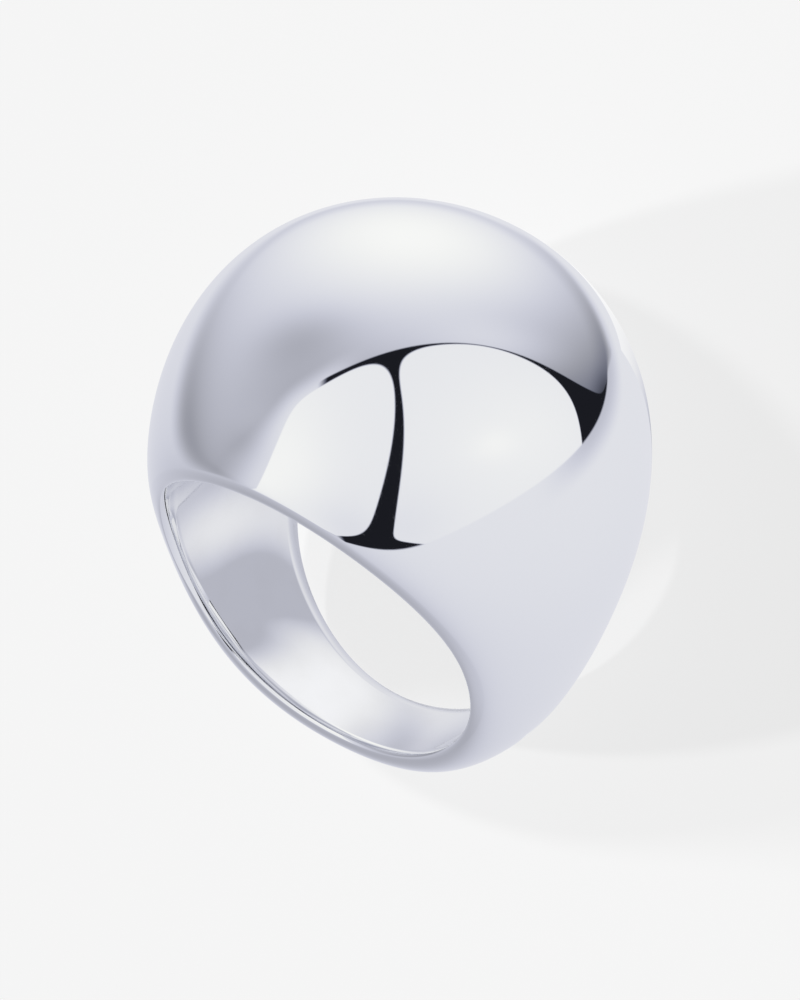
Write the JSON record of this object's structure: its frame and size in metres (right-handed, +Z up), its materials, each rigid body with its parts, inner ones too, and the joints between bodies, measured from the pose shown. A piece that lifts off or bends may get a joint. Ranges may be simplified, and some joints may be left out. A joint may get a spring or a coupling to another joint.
{
  "type": "dome ring",
  "caption": "Polished statement ring for a finger, cast in one piece: a tall round dome that narrows through smooth shoulders into a plain band, lying on its side.",
  "frame": {"origin": "middle of the ring's footprint, on the surface that it lies on", "axes": "+Z up from the surface; -Y towards the dome, +Y towards the band; X from side to side across the hand. The finger hole's axis lies in the YZ plane and leans about 27 degrees from +Z towards +Y."},
  "size_m": [0.0236, 0.0266, 0.021],
  "materials": {
    "polished_silver": "mirror-polished silver plate"
  },
  "bodies": {
    "root": {"dome_ring": "polished_silver"}
  },
  "joints": []
}
